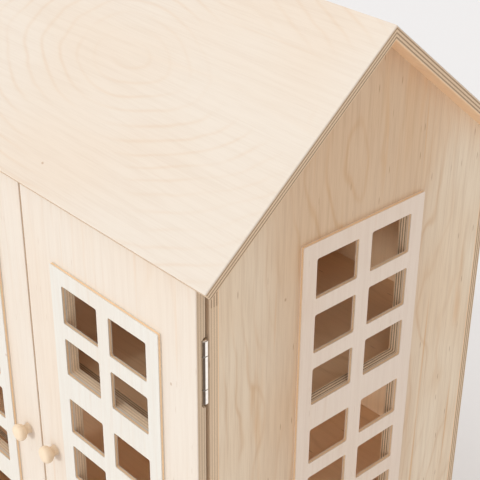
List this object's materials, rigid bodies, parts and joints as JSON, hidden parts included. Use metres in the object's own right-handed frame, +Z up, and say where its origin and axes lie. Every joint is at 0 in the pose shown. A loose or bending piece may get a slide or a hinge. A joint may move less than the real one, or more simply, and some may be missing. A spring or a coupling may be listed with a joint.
{
  "type": "wooden dollhouse",
  "caption": "Tall plywood dollhouse with a steep pitched roof, tall window grids and two hinged front doors that open on rooms on several floors.",
  "frame": {"origin": "centre of the base's underside, the face the house stands on", "axes": "+Z up, -Y towards the doors, X along the ridge from gable to gable"},
  "size_m": [0.4282, 0.3298, 0.6154],
  "materials": {
    "wall_plywood": "pale birch plywood, fine-sanded, matt clear finish, laminations showing on the edges",
    "roof_plywood": "pale birch plywood with wide cathedral grain, matt clear finish",
    "floor_plywood": "birch plywood, fine-sanded, matt clear finish",
    "grid_plywood": "thin whitish birch board, laser-straight cut edges, matt",
    "turned_birch": "turned birch, smooth matt clear finish",
    "dowel_beech": "plain beech",
    "hinge_nickel": "bright nickel-plated steel",
    "screw_steel": "zinc-plated steel",
    "strike_steel": "plain satin steel",
    "magnet_nickel": "nickel-plated magnet"
  },
  "bodies": {
    "house": {"base_panel": "floor_plywood", "base_screws": "screw_steel", "frame_hinge_screws": "screw_steel", "front_frame_dowels": "dowel_beech", "front_header": "wall_plywood", "front_roof_panel": "roof_plywood", "header_magnets": "magnet_nickel", "left_front_stile": "wall_plywood", "left_gable_wall": "wall_plywood", "left_gable_window_grid": "grid_plywood", "left_lower_hinge_frame_leaf": "hinge_nickel", "left_lower_hinge_pin": "hinge_nickel", "left_upper_hinge_frame_leaf": "hinge_nickel", "left_upper_hinge_pin": "hinge_nickel", "middle_floor": "floor_plywood", "rear_roof_panel": "roof_plywood", "rear_wall": "wall_plywood", "rear_wall_dowels": "dowel_beech", "right_front_stile": "wall_plywood", "right_gable_wall": "wall_plywood", "right_gable_window_grid": "grid_plywood", "right_lower_hinge_frame_leaf": "hinge_nickel", "right_lower_hinge_pin": "hinge_nickel", "right_upper_hinge_frame_leaf": "hinge_nickel", "right_upper_hinge_pin": "hinge_nickel", "roof_dowels": "dowel_beech", "upper_floor": "floor_plywood"},
    "right_door": {"right_door_hinge_screws": "screw_steel", "right_door_knob": "turned_birch", "right_door_knob_screw": "screw_steel", "right_door_leaf": "wall_plywood", "right_door_strike": "strike_steel", "right_door_window_grid": "grid_plywood", "right_lower_hinge_door_leaf": "hinge_nickel", "right_upper_hinge_door_leaf": "hinge_nickel"},
    "left_door": {"left_door_hinge_screws": "screw_steel", "left_door_knob": "turned_birch", "left_door_knob_screw": "screw_steel", "left_door_leaf": "wall_plywood", "left_door_strike": "strike_steel", "left_door_window_grid": "grid_plywood", "left_lower_hinge_door_leaf": "hinge_nickel", "left_upper_hinge_door_leaf": "hinge_nickel"}
  },
  "joints": [
    {"name": "right_door_hinge", "type": "hinge", "parent": "house", "child": "right_door", "pos_m": [0.1951, -0.147, 0], "axis": [0, 0, 1], "range_deg": [0, 110]},
    {"name": "left_door_hinge", "type": "hinge", "parent": "house", "child": "left_door", "pos_m": [-0.1951, -0.147, 0], "axis": [0, 0, -1], "range_deg": [0, 110]}
  ]
}
